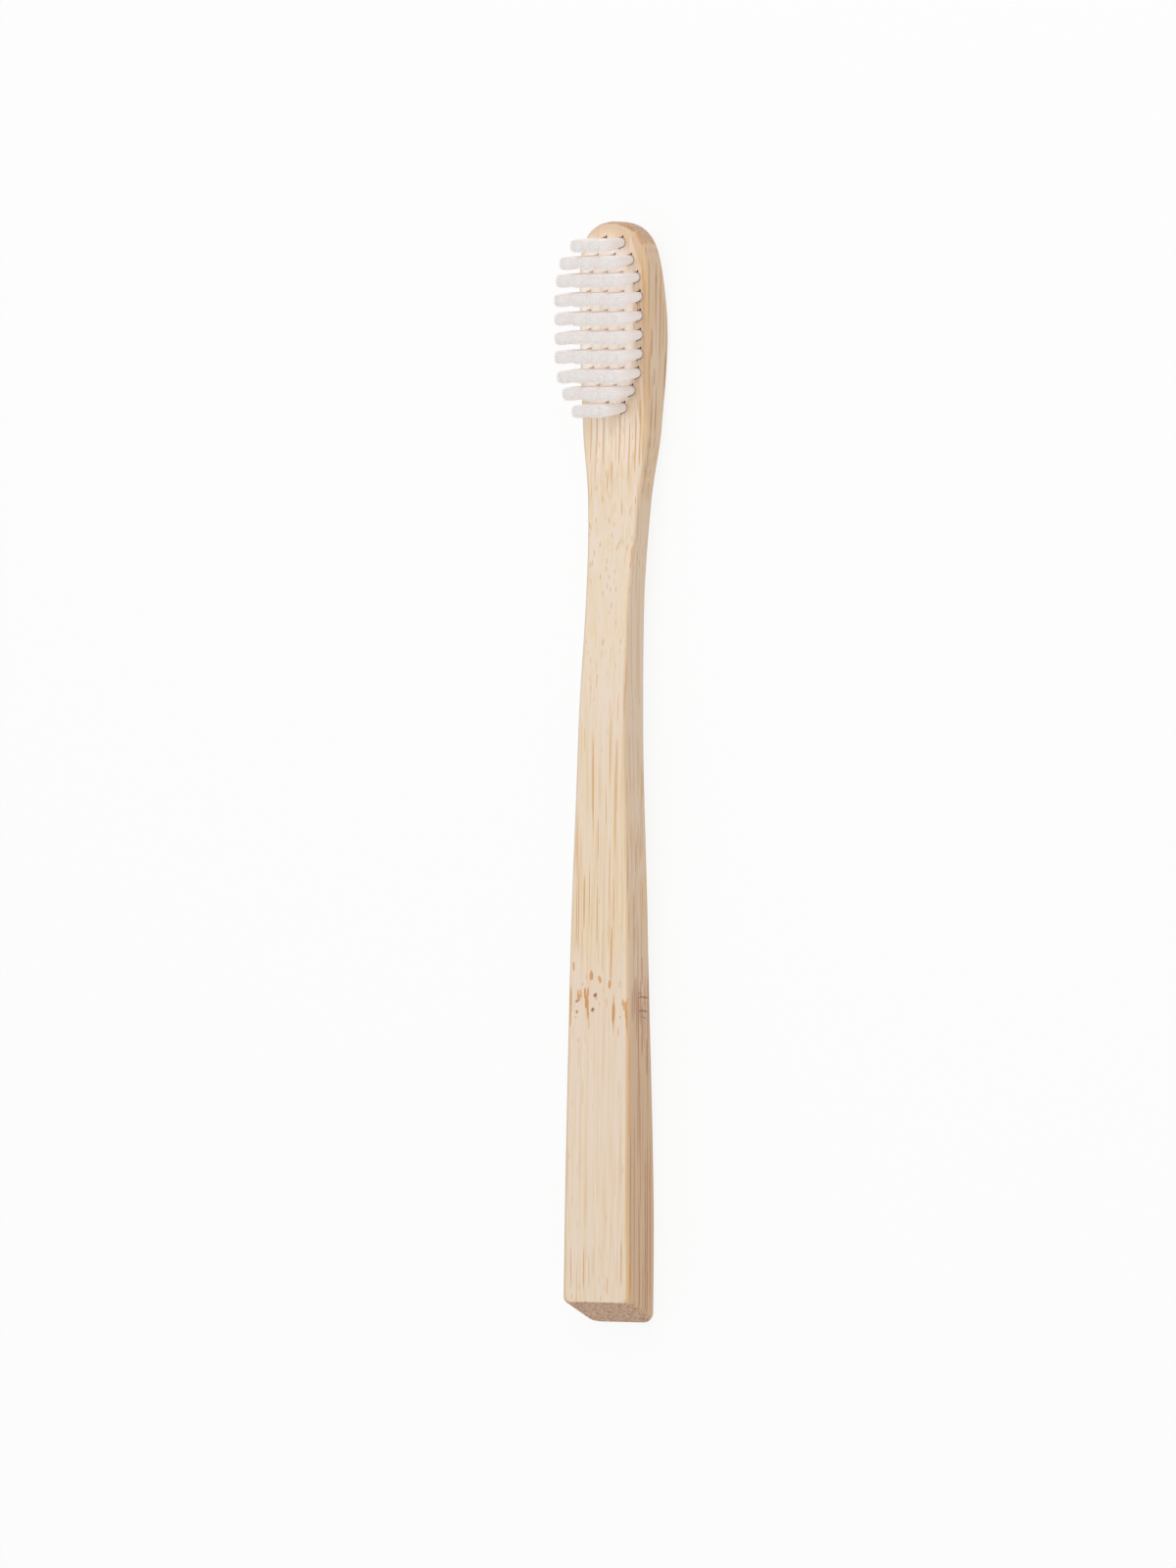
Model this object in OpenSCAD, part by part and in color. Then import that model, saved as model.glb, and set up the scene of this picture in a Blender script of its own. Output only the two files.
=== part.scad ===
// Manual toothbrush: a one-piece bamboo handle whose head is drilled with blind holes. In each
// hole a bundle of filaments is folded round a flat metal anchor, which bites into the wood.
// The brush lies on its back: +Y runs to the head, +Z is where the bristles point, and the
// origin is under the middle of the brush.

/* [Handle seen from the front] */
// Length of the whole brush
brush_l = 190; // [182:1:205]
// Width at the end of the handle
butt_w = 13.4; // [12:0.1:16]
// Distance from the end to the heel of the grip
heel_at = 30; // [24:1:40]
// Width at the heel of the grip
heel_w = 12.7; // [11:0.1:15]
// Distance from the end to the middle of the grip, where the palm lies
palm_at = 68; // [55:1:80]
// Width at the palm
palm_w = 11.7; // [10:0.1:14]
// Distance from the end to where the thumb lies
thumb_at = 102; // [95:1:108]
// Width at the thumb
thumb_w = 9.5; // [8:0.1:12]
// Distance from the tip down to the waist, the narrowest place
tip_to_waist = 66; // [62:1:72]
// Width at the waist
waist_w = 8.8; // [7.5:0.1:10]
// Distance from the tip down to the neck, the thinnest place
tip_to_neck = 48; // [43:1:54]
// Width at the neck
neck_w = 10.35; // [9:0.1:12]
// Distance from the tip down to the shoulder, where the bristle face starts
tip_to_shoulder = 35; // [34:1:38]
// Width at the shoulder
shoulder_w = 13.3; // [12:0.1:14]
// Distance from the tip down to the widest part of the head
tip_to_widest = 20; // [16:1:24]
// Width of the head
head_w = 14.0; // [13.6:0.1:17]
// How full the head's rounded tip is: 2 is an ellipse
tip_fullness = 6.6; // [5:0.1:8]
// Radius of the cut end's two corners beside the front face
front_corner_r = 0.8; // [0.3:0.1:1.2]
// Radius of the cut end's two corners beside the back
back_corner_r = 1.8; // [0.6:0.1:2.4]

/* [Handle seen from the side] */
// Height of the front face at the end of the handle
butt_h = 10.05; // [8:0.05:12]
// Height of the front face at the heel
heel_h = 10.4; // [8.5:0.05:12]
// Height of the front face at the palm
palm_h = 10.35; // [8.5:0.05:12]
// Height of the front face at the thumb
thumb_h = 10.6; // [9:0.05:12]
// Height of the front face at the waist
waist_h = 9.15; // [8:0.05:10.5]
// Height of the front face at the neck
neck_h = 7.45; // [7:0.05:8.5]
// Height of the bristle face at the shoulder
face_h = 7.0; // [6.6:0.05:8]
// Rise of the bristle face towards the tip, in degrees
head_tilt = 2.6; // [0:0.1:5]
// Length of the flat under the end of the handle, on which the brush rests
rest_l = 14; // [8:1:22]
// Height of the back above the table at the palm
palm_rise = 2.8; // [1.5:0.05:3.5]
// Height of the back above the table at the thumb
thumb_rise = 3.3; // [2:0.05:4]
// Height of the back above the table at the waist
waist_rise = 2.9; // [2:0.05:3.6]
// Height of the back above the table at the neck
neck_rise = 2.2; // [1.5:0.05:2.6]
// Height of the back above the table at the shoulder
shoulder_rise = 1.25; // [0.6:0.05:1.6]
// Height of the back above the table at the tip
tip_rise = 3.2; // [1:0.05:3.6]
// Slant of the handle's cut end, in degrees from square
end_slant = 21; // [0:0.1:28]
// Length over which the slant of the end dies out
slant_run = 12; // [9:1:20]
// Depth sanded off the back where it touches the table
rest_sand = 0.05; // [0.02:0.01:0.15]

/* [Edges] */
// Radius of the front edges at the end of the handle
butt_front_r = 1.0; // [0.4:0.1:1.6]
// Radius of the front edges from the palm to the tip
front_r = 0.8; // [0.3:0.1:1]
// Radius of the back edges at the end of the handle
butt_back_r = 2.2; // [1:0.1:3]
// Radius of the back edges from the palm to the neck
back_r = 1.0; // [0.6:0.1:1.8]
// Radius of the back edges round the head
head_back_r = 1.6; // [0.8:0.1:2.2]
// Radius of the cut end's edge beside the front face
end_front_r = 0.3; // [0.1:0.1:0.8]
// Radius of the cut end's edge beside the back
end_back_r = 0.8; // [0.2:0.1:1.2]

/* [Tuft field] */
// Number of tufts in each row, from the tip of the head to the neck
row_counts = [2, 3, 4, 4, 4, 4, 4, 4, 3, 2]; // [1:1:4]
// Distance from the tip to the first row
tip_to_first_row = 3.6; // [3.2:0.1:4.4]
// Pitch of the rows in the middle of the field
row_pitch = 3.3; // [3:0.05:3.4]
// Pitch of the two rows at either end of the field
end_row_pitch = 3.0; // [2.8:0.05:3.2]
// Number of row gaps at either end of the field that have the smaller pitch
end_gaps = 2; // [0:1:4]
// Width of wood left beside the outermost holes at the widest part of the head
rim_w = 1.1; // [1:0.05:1.6]
// How much closer the tufts stand across a full row that has a shorter row beside it
edge_row_squeeze = 0.3; // [0:0.05:0.4]

/* [Tufts and anchors] */
// Bore of the tuft holes
hole_d = 1.9; // [1.7:0.05:2.1]
// Depth of the tuft holes, without the drill point
hole_depth = 3.4; // [3:0.1:3.8]
// Point angle of the drill that made the holes, in degrees
drill_angle = 140; // [118:1:160]
// Clearance round a bundle in its hole
tuft_fit = 0.02; // [0.01:0.01:0.06]
// Length of the bundles above the bristle face
tuft_l = 9.7; // [7:0.1:12]
// Width of a bundle at its cut end
tuft_tip_d = 2.4; // [1.9:0.05:2.5]
// Height of the rounded crown at the cut end of a bundle
crown_h = 0.3; // [0.1:0.05:0.6]
// Height of the filaments' bend at the foot of a bundle
bend_h = 0.55; // [0.3:0.05:0.7]
// Number of filament ridges round a bundle
ridges = 8; // [6:1:10]
// Depth of the grooves between the ridges
groove_depth = 0.1; // [0.05:0.01:0.16]
// Length of an anchor: it is longer than the bore, so its ends bite into the wood
anchor_l = 2.5; // [2.2:0.05:2.6]
// Height of an anchor
anchor_h = 1.4; // [1:0.1:1.6]
// Thickness of an anchor
anchor_t = 0.3; // [0.2:0.01:0.4]
// Depth of an anchor's upper edge under the bristle face
anchor_sink = 1.2; // [1:0.1:1.4]
// Turn of the anchors from the line of the brush, in degrees
anchor_turn = 19; // [0:1:40]
// Clearance round an anchor in its bundle and in the cut it made in the wood
anchor_fit = 0.01; // [0.005:0.005:0.03]

/* [Smoothness] */
// Number of steps along each side of the handle
side_steps = 46; // [20:1:60]
// Number of steps round each side of the tip
tip_steps = 14; // [8:1:20]
// Number of steps round a front edge
front_steps = 3; // [2:1:5]
// Number of steps round a back edge
back_steps = 4; // [2:1:6]
// Number of steps round an upright corner of the end
corner_steps = 3; // [2:1:5]

/* [Hidden] */
row_total = len(row_counts);
wood = "#e7d4bc";
nylon = "#e9e5e3";
brass = "#c8ad6c";
slip = 0.5;

// The names of the pieces: tufts and anchors are numbered from the tip of the head
function two_digits(n) = str(n < 10 ? "0" : "", n);
function tuft_name(row, column) = str("tuft_r", two_digits(row + 1), "_c", column + 1);
function anchors_name(row) = str("anchors_row_", two_digits(row + 1));
tuft_names = [for (row = [0:row_total - 1]) for (column = [0:row_counts[row] - 1]) tuft_name(row, column)];
anchor_names = [for (row = [0:row_total - 1]) anchors_name(row)];

// A smooth line through stations [place, value] that never overshoots them: at a station its
// slope is the harmonic mean of the slopes beside it, or level at a crest, a dip or an end
function rate(s, i) = (s[i + 1][1] - s[i][1]) / (s[i + 1][0] - s[i][0]);
function slope(s, i) = i == 0 || i == len(s) - 1 ? 0
    : let (before = rate(s, i - 1), after = rate(s, i))
      before * after <= 0 ? 0 : 2 * before * after / (before + after);
function between(s, i, y) = let (run = s[i + 1][0] - s[i][0], t = (y - s[i][0]) / run)
    s[i][1] * (1 + 2 * t) * pow(1 - t, 2) + slope(s, i) * run * t * pow(1 - t, 2)
    + s[i + 1][1] * (3 - 2 * t) * pow(t, 2) + slope(s, i + 1) * run * (t - 1) * pow(t, 2);
function line_at(s, y, i = 0) = y <= s[0][0] ? s[0][1]
    : i == len(s) - 1 ? s[i][1]
    : y <= s[i + 1][0] ? between(s, i, y)
    : line_at(s, y, i + 1);

// The cut end leans back from the front: each point near it moves along the brush by its height
slant_rate = tan(end_slant);
function end_back_y(turn) = end_back_r * (1 - cos(turn))
    + slant_rate * (butt_back_r * (1 - sin(turn)) - rest_sand);
end_y = min([for (step = [0:back_steps]) end_back_y(90 * step / back_steps)]);
function leaned(y, z) = y + slant_rate * z * max(0, 1 - y / slant_run);

// Places along the brush
tip_y = end_y + brush_l;
middle_y = end_y + brush_l / 2;
waist_y = tip_y - tip_to_waist;
neck_y = tip_y - tip_to_neck;
shoulder_y = tip_y - tip_to_shoulder;
widest_y = tip_y - tip_to_widest;

// The handle's lines: its width, the heights of its front and back, and the radii of its edges
width_line = [[0, butt_w], [heel_at, heel_w], [palm_at, palm_w], [thumb_at, thumb_w],
    [waist_y, waist_w], [neck_y, neck_w], [shoulder_y, shoulder_w], [widest_y, head_w]];
front_line = [[0, butt_h], [heel_at, heel_h], [palm_at, palm_h], [thumb_at, thumb_h],
    [waist_y, waist_h], [neck_y, neck_h], [shoulder_y, face_h]];
back_line = [[0, -rest_sand], [rest_l, -rest_sand], [palm_at, palm_rise], [thumb_at, thumb_rise],
    [waist_y, waist_rise], [neck_y, neck_rise], [shoulder_y, shoulder_rise],
    [widest_y, -rest_sand], [tip_y, tip_rise]];
front_edge_line = [[0, butt_front_r], [palm_at, front_r], [tip_y, front_r]];
back_edge_line = [[0, butt_back_r], [palm_at, back_r], [neck_y, back_r], [widest_y, head_back_r]];
function front_z(y) = y < shoulder_y ? line_at(front_line, y) : face_h + tan(head_tilt) * (y - shoulder_y);
function back_z(y) = line_at(back_line, y);

// One side of the handle as seen from the front, pulled in by the inset of a rounded edge: the
// corner of the cut end, the side up to the widest place, and the tip, where
// (x / half width) ^ 2 + (y / length) ^ fullness = 1
corner_clearance = 1;
side_from = max(front_corner_r + end_front_r, back_corner_r + end_back_r) + corner_clearance;
tip_flat = 0.1;
tip_crowding = 1.6;
function half_w(y) = line_at(width_line, y) / 2;
function corner_point(turn, corner_r, inset, end_inset) =
    [half_w(0) - inset - corner_r * (1 - sin(turn)), end_inset + corner_r * (1 - cos(turn))];
function side_point(share, inset) = let (y = side_from + share * (widest_y - side_from))
    [half_w(y) - inset, y];
function tip_point(share, inset) = let (turn = 90 * pow(share, tip_crowding))
    [(head_w / 2 - inset) * max(tip_flat, cos(turn)),
     widest_y + (tip_to_widest - inset) * pow(sin(turn), 2 / tip_fullness)];
function side_points(inset_at, corner_r, end_inset) = concat(
    [for (step = [0:corner_steps])
        corner_point(90 * step / corner_steps, corner_r, inset_at(0), end_inset)],
    [for (step = [0:side_steps]) let (share = step / side_steps)
        side_point(share, inset_at(side_from + share * (widest_y - side_from)))],
    [for (step = [1:tip_steps]) tip_point(step / tip_steps, inset_at(tip_y))]);

// The outline at one level of a rounded edge: turn is 90 degrees at the face and 0 at the side
function front_ring(turn) = let (
    inset_at = function (y) line_at(front_edge_line, y) * (1 - cos(turn)),
    side = side_points(inset_at, front_corner_r, end_front_r * (1 - cos(turn))))
    both_sides([for (p = side)
        let (z = front_z(p[1]) - line_at(front_edge_line, p[1]) * (1 - sin(turn)))
        [p[0], leaned(p[1], z), z]]);
function back_ring(turn) = let (
    inset_at = function (y) line_at(back_edge_line, y) * (1 - cos(turn)),
    side = side_points(inset_at, back_corner_r, end_back_r * (1 - cos(turn))))
    both_sides([for (p = side)
        let (z = back_z(p[1]) + line_at(back_edge_line, p[1]) * (1 - sin(turn)))
        [p[0], leaned(p[1], z), z]]);
function both_sides(side) = concat(side,
    [for (i = [len(side) - 1:-1:0]) [-side[i][0], side[i][1], side[i][2]]]);

// Faces between rings of equal length, and the strips that close the first and the last ring
function wall_faces(rings, size) = [for (k = [0:rings - 2]) for (i = [0:size - 1])
    let (a = k * size + i, b = k * size + (i + 1) % size)
    each [[a, a + size, b + size], [a, b + size, b]]];
function strip_faces(first, size) = [for (i = [0:size / 2 - 2])
    let (a = first + i, b = first + size - 1 - i)
    each [[a, a + 1, b - 1], [a, b - 1, b]]];
function flipped(faces) = [for (f = faces) [f[2], f[1], f[0]]];

// The head's own axes: level with the bristle face, from the middle of the shoulder's line
function to_head(p) = let (y = p[1] - shoulder_y, z = p[2] - face_h)
    [p[0], y * cos(head_tilt) + z * sin(head_tilt), z * cos(head_tilt) - y * sin(head_tilt)];
module from_head() {
    translate([0, shoulder_y - middle_y, face_h])
        rotate([head_tilt, 0, 0])
            children();
}

// Where the tufts stand on the bristle face
function gap_below(row) = row < end_gaps || row >= row_total - 1 - end_gaps ? end_row_pitch : row_pitch;
function rows_down(row) = row == 0 ? 0 : rows_down(row - 1) + gap_below(row - 1);
function row_place(row) = (tip_to_shoulder - tip_to_first_row - rows_down(row)) / cos(head_tilt);
function beside_shorter(row) = (row > 0 && row_counts[row - 1] < row_counts[row])
    || (row < row_total - 1 && row_counts[row + 1] < row_counts[row]);
tuft_pitch = (head_w - 2 * rim_w - hole_d) / (max(row_counts) - 1);
function pitch_in(row) = row_counts[row] == max(row_counts) && beside_shorter(row)
    ? tuft_pitch - edge_row_squeeze : tuft_pitch;
function tuft_place(row, column) =
    [(column - (row_counts[row] - 1) / 2) * pitch_in(row), row_place(row), 0];

// The bundle's outline: a round rope of ridges, at a width of its own for each height
tuft_d = hole_d - 2 * tuft_fit;
drill_point_h = hole_d / 2 / tan(drill_angle / 2);
bend_narrowing = 0.6;
bend_w = tuft_d * bend_narrowing;
ridge_points = 2 * ridges;
function bundle_ring(width, z) = [for (i = [0:ridge_points - 1])
    let (turn = 360 * i / ridge_points, r = width / 2 - (i % 2) * groove_depth)
    [r * cos(turn), r * sin(turn), z]];
bundle_rings = [
    bundle_ring(bend_w, -hole_depth),
    bundle_ring(tuft_d, bend_h - hole_depth),
    bundle_ring(tuft_d, 0),
    bundle_ring(tuft_tip_d, tuft_l - crown_h),
    bundle_ring(tuft_tip_d - 2 * crown_h, tuft_l)];

// The handle without its holes, worked out in the head's axes so that the bristle face is true
module shaft() {
    rings = concat(
        [for (step = [0:back_steps]) back_ring(90 - 90 * step / back_steps)],
        [for (step = [0:front_steps]) front_ring(90 * step / front_steps)]);
    size = len(rings[0]);
    points = [for (ring = rings) for (p = ring) to_head(p)];
    polyhedron(points, concat(
        strip_faces(0, size),
        wall_faces(len(rings), size),
        flipped(strip_faces((len(rings) - 1) * size, size))));
}

// A plate as wide as an anchor with a clearance, from a depth up to a height
module anchor_plate(fit, from_z, to_z) {
    rotate([0, 0, -anchor_turn])
        translate([-anchor_t / 2 - fit, -anchor_l / 2 - fit, from_z])
            cube([anchor_t + 2 * fit, anchor_l + 2 * fit, to_z - from_z]);
}

// A blind drilled hole, with the narrow cut that the anchor made on its way down
module tuft_hole() {
    translate([0, 0, -hole_depth])
        cylinder(d = hole_d, h = hole_depth + slip, $fn = 48);
    translate([0, 0, -hole_depth - drill_point_h])
        cylinder(d1 = 0, d2 = hole_d, h = drill_point_h, $fn = 48);
    anchor_plate(anchor_fit, -anchor_sink - anchor_h - anchor_fit, slip);
}

module handle() {
    color(wood)
        difference() {
            from_head()
                difference() {
                    shaft();
                    for (row = [0:row_total - 1])
                        for (column = [0:row_counts[row] - 1])
                            translate(tuft_place(row, column))
                                tuft_hole();
                }
            translate([-butt_w, -brush_l, -2 * butt_w])
                cube([2 * butt_w, 2 * brush_l, 2 * butt_w]);
        }
}

// A bundle of filaments, open in the middle of its foot for the anchor
module tuft(row, column) {
    color(nylon)
        from_head()
            translate(tuft_place(row, column))
                difference() {
                    polyhedron([for (ring = bundle_rings) each ring], concat(
                        [[for (i = [0:ridge_points - 1]) i]],
                        wall_faces(len(bundle_rings), ridge_points),
                        [[for (i = [ridge_points - 1:-1:0])
                            (len(bundle_rings) - 1) * ridge_points + i]]));
                    anchor_plate(anchor_fit, -anchor_sink - anchor_h - anchor_fit,
                        -anchor_sink + anchor_fit);
                }
}

// The anchors of one row
module anchors(row) {
    color(brass)
        from_head()
            for (column = [0:row_counts[row] - 1])
                translate(tuft_place(row, column))
                    anchor_plate(0, -anchor_sink - anchor_h, -anchor_sink);
}

handle();
for (row = [0:row_total - 1]) for (column = [0:row_counts[row] - 1])
    tuft(row, column);
for (row = [0:row_total - 1])
    anchors(row);
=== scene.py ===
import math
from functools import partial

import bmesh
import bpy
import numpy as np
from mathutils import Matrix, Vector, geometry


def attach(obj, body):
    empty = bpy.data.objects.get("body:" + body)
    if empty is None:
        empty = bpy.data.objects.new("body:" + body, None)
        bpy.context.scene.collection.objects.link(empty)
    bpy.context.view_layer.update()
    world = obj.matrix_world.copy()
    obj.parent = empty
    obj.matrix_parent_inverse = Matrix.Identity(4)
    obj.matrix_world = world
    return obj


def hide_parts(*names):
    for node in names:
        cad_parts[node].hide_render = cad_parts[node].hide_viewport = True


# A bamboo toothbrush lying on its back: one bamboo handle, 34 filament bundles and their anchors.
# Sizes are in millimetres here and become metres when a mesh is made.

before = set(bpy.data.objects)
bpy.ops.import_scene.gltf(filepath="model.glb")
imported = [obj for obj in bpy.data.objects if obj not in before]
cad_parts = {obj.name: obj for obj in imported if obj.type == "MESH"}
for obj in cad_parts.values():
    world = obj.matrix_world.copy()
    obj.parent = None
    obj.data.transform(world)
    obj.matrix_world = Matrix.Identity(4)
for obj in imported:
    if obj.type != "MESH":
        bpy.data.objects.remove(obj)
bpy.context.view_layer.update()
rng = np.random.default_rng(34)
mm = 0.001
onePoint, noEdge = 2e-7, 1e-8    # metres: closer points are merged, and shorter edges dropped
print("frame loaded:", len(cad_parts), "CAD nodes")

handleShape = {
    "length": 190.0,
    "fromEnd": {"end": 0.0, "rest": 14.0, "heel": 30.0, "palm": 68.0, "thumb": 102.0},
    "fromTip": {"waist": 66.0, "neck": 48.0, "shoulder": 35.0, "widest": 20.0, "tip": 0.0},
    "width": {"end": 13.4, "heel": 12.7, "palm": 11.7, "thumb": 9.5, "waist": 8.8, "neck": 10.35,
              "shoulder": 13.3, "widest": 14.0},
    "front": {"end": 10.05, "heel": 10.4, "palm": 10.35, "thumb": 10.6, "waist": 9.15, "neck": 7.45,
              "shoulder": 7.0},
    "back": {"end": -0.05, "rest": -0.05, "palm": 2.8, "thumb": 3.3, "waist": 2.9, "neck": 2.2,
             "shoulder": 1.25, "widest": -0.05, "tip": 3.2},
    "frontEdge": {"end": 1.0, "palm": 0.8, "tip": 0.8},
    "backEdge": {"end": 2.2, "palm": 1.0, "neck": 1.0, "widest": 1.6},
    "headTilt": 2.6,          # degrees that the bristle face rises towards the tip
    "tipFullness": 6.6,       # 2 would be an ellipse
    "tipFlat": 0.1,
    "tipCrowding": 1.6,       # packs the steps towards the tip
    "corner": {"front": 1.5, "back": 1.8},
    "endEdge": {"front": 0.3, "back": 0.8},
    "cornerClearance": 1.0,   # between the rounded corner and the first step of the side
    "endSlant": 21.0,         # degrees from square
    "slantRun": 12.0,
    "support": 0.2,           # a narrow strip that keeps each face flat up to its edge
    "steps": {"corner": 6, "side": 240, "shoulder": 24, "tip": 44, "frontEdge": 6, "backEdge": 8,
              "up": 6, "across": 14, "foot": 4},
    "sharpAngle": 35.0,       # edges that turn more than this stay crisp
}

tuftShape = {
    "rows": [2, 3, 4, 4, 4, 4, 4, 4, 3, 2],
    "tipToFirstRow": 3.6,
    "rowPitch": 3.3, "endRowPitch": 3.0, "endGaps": 2,
    "rim": 1.1, "edgeRowSqueeze": 0.3,
    "holeRadius": 0.95, "holeDepth": 3.4,
    "notchHalfWidth": 0.16, "notchReach": 1.26, "notchTurn": 19.0,
    "arcSteps": 10,
    # [filaments, how far out they stand, where each starts along the bundle] for each layer
    "layers": [[30, 1.0, 0.0], [23, 0.82, 0.0], [38, 0.74, 0.88]],
    "filamentRadius": 0.11, "sides": 6,
    "length": 9.68, "footDepth": 1.1,
    "footRadius": 0.81, "tipAcross": 1.54, "tipAlong": 1.15,
    "flare": 2.6,               # how fast a bundle opens above its hole
    "squareness": 3.4,          # of the cut end, seen from the front; 2 is an ellipse
    "crown": 0.1, "unevenness": 0.05, "bow": 0.03, "lean": 0.05, "leanLimit": 0.1,
    "leanBack": 0.5,            # all bundles tip this far towards the grip
    "stray": {"tuft_r02_c1": -0.5, "tuft_r09_c1": -0.15},    # how far these lean across as well
    "narrowest": 0.97,          # of the cut ends, beside the widest one
    "lengthSpread": 0.07, "turnSpread": 0.03, "ringSpread": 0.02,
    "spiralTurn": 137.508,      # degrees from one inner filament to the next
    "knee": 0.09, "bends": (0.34, 0.6, 0.992),    # rings along a filament, as shares of its length
    "endWidth": 0.55,           # what the rounded end leaves of a filament's width
    "coreShare": 0.88, "coreSides": 24, "coreRings": 9, "coreCrowding": 1.3, "coreBelowTip": 0.3,
    "coreStrand": 0.3,
}


def smoothLine(values, y):
    # Hermite curve through the named stations; each slope is the harmonic mean of the rates
    # on its two sides, and level at a crest, a dip or an end
    x = np.array([places[name] for name in values])
    v = np.array(list(values.values()))
    rate = np.diff(v) / np.diff(x)
    product = rate[:-1] * rate[1:]
    slope = np.zeros(len(v))
    np.divide(2 * product, rate[:-1] + rate[1:], out=slope[1:-1], where=product > 0)
    i = np.clip(np.searchsorted(x, y, side="right") - 1, 0, len(x) - 2)
    run = x[i + 1] - x[i]
    t = np.clip((y - x[i]) / run, 0, 1)
    return (v[i] * (1 + 2 * t) * (1 - t) ** 2 + slope[i] * run * t * (1 - t) ** 2
            + v[i + 1] * (3 - 2 * t) * t ** 2 + slope[i + 1] * run * (t - 1) * t ** 2)


def endOfSlant():
    # lowest place of the slanted end's rounded foot: r(1 - cos a) + tan(slant) * its height
    turn = np.radians(np.linspace(0, 90, handleShape["steps"]["foot"] + 1))
    height = handleShape["backEdge"]["end"] * (1 - np.sin(turn)) + handleShape["back"]["end"]
    return (handleShape["endEdge"]["back"] * (1 - np.cos(turn)) + slantRate * height).min()


slantRate = math.tan(math.radians(handleShape["endSlant"]))
tilt = math.radians(handleShape["headTilt"])
tipY = endOfSlant() + handleShape["length"]
middleY = endOfSlant() + handleShape["length"] / 2
places = dict(handleShape["fromEnd"])
places.update({name: tipY - back for name, back in handleShape["fromTip"].items()})
faceHeight = handleShape["front"]["shoulder"]


def frontHeight(y):
    # the side view's front line, then a straight rise at the head's tilt past the shoulder
    rise = faceHeight + math.tan(tilt) * (y - places["shoulder"])
    return np.where(y < places["shoulder"], smoothLine(handleShape["front"], y), rise)


def sideOutline(inset, corner, endInset):
    # plan outline of one side: quarter circle at the cut end, half width up to the widest
    # place, then x = a cos(t), y = b sin(t)^(2/p) round the tip
    shape, steps = handleShape, handleShape["steps"]
    turn = np.radians(np.linspace(0, 90, steps["corner"] + 1))
    end = np.zeros(1)
    cornerX = smoothLine(shape["width"], end) / 2 - inset(end) - corner * (1 - np.sin(turn))
    cornerY = endInset + corner * (1 - np.cos(turn))
    sideFrom = shape["corner"]["back"] + shape["endEdge"]["back"] + shape["cornerClearance"]
    sideY = np.concatenate([
        np.linspace(sideFrom, places["shoulder"], steps["side"] + 1),
        np.linspace(places["shoulder"], places["widest"], steps["shoulder"] + 1)[1:]])
    sideX = smoothLine(shape["width"], sideY) / 2 - inset(sideY)
    turn = np.pi / 2 * np.linspace(0, 1, steps["tip"] + 1)[1:] ** shape["tipCrowding"]
    tipInset = inset(np.array([tipY]))
    tipHalf = shape["width"]["widest"] / 2 - tipInset
    tipRun = shape["fromTip"]["widest"] - tipInset
    tipX = tipHalf * np.maximum(shape["tipFlat"], np.cos(turn))
    tipYs = places["widest"] + tipRun * np.sin(turn) ** (2 / shape["tipFullness"])
    return np.concatenate([cornerX, sideX, tipX]), np.concatenate([cornerY, sideY, tipYs])


def handleRing(face, turn, extra=0.0):
    # one level of the handle: the outline pulled in by r(1 - cos a) and moved off the face by
    # r(1 - sin a), then leaned along the brush near the slanted end; the right side, a line
    # across the tip, the left side and a line across the cut end in one ring
    line = handleShape["frontEdge"] if face == "front" else handleShape["backEdge"]
    pull = 1 - math.cos(math.radians(turn))
    off = 1 - math.sin(math.radians(turn))
    x, y = sideOutline(lambda at: smoothLine(line, at) * pull + extra, handleShape["corner"][face],
                       handleShape["endEdge"][face] * pull + extra)
    edge = smoothLine(line, y) * off
    z = frontHeight(y) - edge if face == "front" else smoothLine(handleShape["back"], y) + edge
    y = np.maximum(y + slantRate * z * np.maximum(0, 1 - y / handleShape["slantRun"]), endOfSlant())
    right = np.stack([x, y, np.maximum(z, 0)], axis=1)
    left = right[::-1] * [-1, 1, 1]
    share = np.linspace(0, 1, handleShape["steps"]["across"] + 1)[1:-1, None]
    return np.concatenate([right, right[-1] * (1 - share) + left[0] * share,
                           left, left[-1] * (1 - share) + right[0] * share])


headOrigin = np.array([0, places["shoulder"], faceHeight])
headTurn = np.array([[1, 0, 0], [0, math.cos(tilt), -math.sin(tilt)], [0, math.sin(tilt), math.cos(tilt)]])


def toHead(p):
    # the head's own axes: level with the bristle face, from the middle of the shoulder's line
    return (p - headOrigin) @ headTurn


def fromHead(p):
    # back to the brush's own axes: the same turn the other way, then the move
    return p @ headTurn.T + headOrigin


def gridFaces(rows, columns, closed=False):
    # quads of a rows x columns grid of points numbered row by row
    wide = columns if closed else columns - 1
    r, c = np.meshgrid(np.arange(rows - 1), np.arange(wide), indexing="ij")
    a, b = r * columns + c, r * columns + (c + 1) % columns
    return np.stack([a, b, b + columns, a + columns], axis=-1).reshape(-1, 4)


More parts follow.
